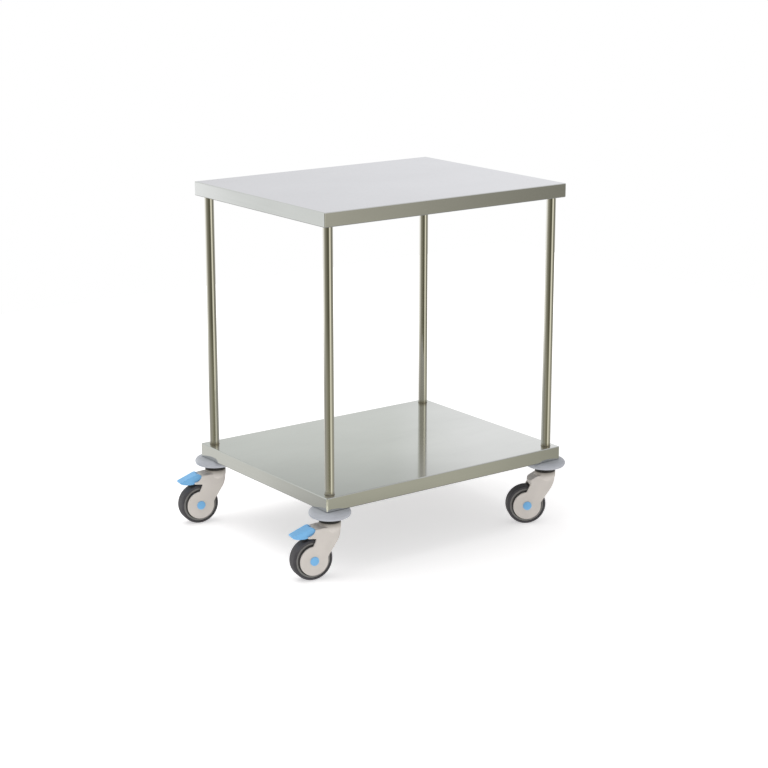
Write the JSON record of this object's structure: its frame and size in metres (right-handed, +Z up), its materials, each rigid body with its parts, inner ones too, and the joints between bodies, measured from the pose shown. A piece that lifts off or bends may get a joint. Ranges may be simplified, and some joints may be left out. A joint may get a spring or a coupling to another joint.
{
  "type": "instrument table",
  "caption": "Wheeled instrument table: folded sheet-steel top and lower shelf on round tube legs, carried by swivel castors with bumper discs, some with a brake pedal.",
  "frame": {"origin": "on the floor under the middle of the table", "axes": "+X along the long side away from the braked castors, +Y along the short side towards the back, +Z up"},
  "size_m": [0.8728, 0.6158, 0.875],
  "materials": {
    "sheet_steel": "fine brushed stainless sheet",
    "leg_tube": "polished stainless tube",
    "plated_steel": "bright zinc plate",
    "bumper_plastic": "satin bluish grey",
    "race_steel": "satin black",
    "fork_plastic": "satin warm beige grey",
    "hub_plastic": "satin mid grey",
    "tyre_rubber": "matt dark grey",
    "brake_plastic": "satin light blue",
    "pad_rubber": "matt black"
  },
  "bodies": {
    "frame": {"top_tray": "sheet_steel", "bottom_shelf": "sheet_steel", "top_stiffener": "sheet_steel", "bottom_stiffener": "sheet_steel", "leg_front_left": "leg_tube", "leg_back_left": "leg_tube", "leg_front_right": "leg_tube", "leg_back_right": "leg_tube", "spigot_plate_front_left": "plated_steel", "spigot_plate_back_left": "plated_steel", "spigot_plate_front_right": "plated_steel", "spigot_plate_back_right": "plated_steel", "leg_insert_front_left": "plated_steel", "leg_insert_back_left": "plated_steel", "leg_insert_front_right": "plated_steel", "leg_insert_back_right": "plated_steel", "corner_bush_front_left": "plated_steel", "corner_bush_back_left": "plated_steel", "corner_bush_front_right": "plated_steel", "corner_bush_back_right": "plated_steel", "castor_stem_front_left": "race_steel", "castor_stem_back_left": "race_steel", "castor_stem_front_right": "race_steel", "castor_stem_back_right": "race_steel", "bumper_front_left": "bumper_plastic", "bumper_back_left": "bumper_plastic", "bumper_front_right": "bumper_plastic", "bumper_back_right": "bumper_plastic"},
    "castor_front_left": {"fork_front_left": "fork_plastic", "axle_front_left": "plated_steel", "axle_cap_left_front_left": "brake_plastic", "axle_cap_right_front_left": "brake_plastic", "pedal_pin_front_left": "plated_steel"},
    "castor_back_left": {"fork_back_left": "fork_plastic", "axle_back_left": "plated_steel", "axle_cap_left_back_left": "brake_plastic", "axle_cap_right_back_left": "brake_plastic", "pedal_pin_back_left": "plated_steel"},
    "castor_front_right": {"fork_front_right": "fork_plastic", "axle_front_right": "plated_steel", "axle_cap_left_front_right": "brake_plastic", "axle_cap_right_front_right": "brake_plastic"},
    "castor_back_right": {"fork_back_right": "fork_plastic", "axle_back_right": "plated_steel", "axle_cap_left_back_right": "brake_plastic", "axle_cap_right_back_right": "brake_plastic"},
    "wheel_front_left": {"wheel_hub_front_left": "hub_plastic", "tyre_front_left": "tyre_rubber"},
    "wheel_back_left": {"wheel_hub_back_left": "hub_plastic", "tyre_back_left": "tyre_rubber"},
    "wheel_front_right": {"wheel_hub_front_right": "hub_plastic", "tyre_front_right": "tyre_rubber"},
    "wheel_back_right": {"wheel_hub_back_right": "hub_plastic", "tyre_back_right": "tyre_rubber"},
    "pedal_front_left": {"brake_pedal_front_left": "brake_plastic", "brake_pad_front_left": "pad_rubber"},
    "pedal_back_left": {"brake_pedal_back_left": "brake_plastic", "brake_pad_back_left": "pad_rubber"}
  },
  "joints": [
    {"name": "swivel_front_left", "type": "hinge", "parent": "frame", "child": "castor_front_left", "pos_m": [-0.3345, -0.257, 0.1365], "axis": [0, 0, 1], "continuous": true},
    {"name": "swivel_back_left", "type": "hinge", "parent": "frame", "child": "castor_back_left", "pos_m": [-0.3345, 0.257, 0.1365], "axis": [0, 0, 1], "continuous": true},
    {"name": "swivel_front_right", "type": "hinge", "parent": "frame", "child": "castor_front_right", "pos_m": [0.3345, -0.257, 0.1365], "axis": [0, 0, 1], "continuous": true},
    {"name": "swivel_back_right", "type": "hinge", "parent": "frame", "child": "castor_back_right", "pos_m": [0.3345, 0.257, 0.1365], "axis": [0, 0, 1], "continuous": true},
    {"name": "roll_front_left", "type": "hinge", "parent": "castor_front_left", "child": "wheel_front_left", "pos_m": [-0.38309, -0.24755, 0.05], "axis": [-0.1908, -0.9816, 0], "continuous": true},
    {"name": "roll_back_left", "type": "hinge", "parent": "castor_back_left", "child": "wheel_back_left", "pos_m": [-0.38325, 0.2656, 0.05], "axis": [-0.1736, -0.9848, 0], "continuous": true},
    {"name": "roll_front_right", "type": "hinge", "parent": "castor_front_right", "child": "wheel_front_right", "pos_m": [0.29079, -0.23376, 0.05], "axis": [-0.4695, -0.8829, 0], "continuous": true},
    {"name": "roll_back_right", "type": "hinge", "parent": "castor_back_right", "child": "wheel_back_right", "pos_m": [0.38325, 0.2656, 0.05], "axis": [-0.1736, 0.9848, 0], "continuous": true},
    {"name": "brake_front_left", "type": "hinge", "parent": "castor_front_left", "child": "pedal_front_left", "pos_m": [-0.38751, -0.2467, 0.12], "axis": [-0.1908, -0.9816, 0], "range_deg": [0, 10]},
    {"name": "brake_back_left", "type": "hinge", "parent": "castor_back_left", "child": "pedal_back_left", "pos_m": [-0.38768, 0.26638, 0.12], "axis": [-0.1736, -0.9848, 0], "range_deg": [0, 10]}
  ]
}
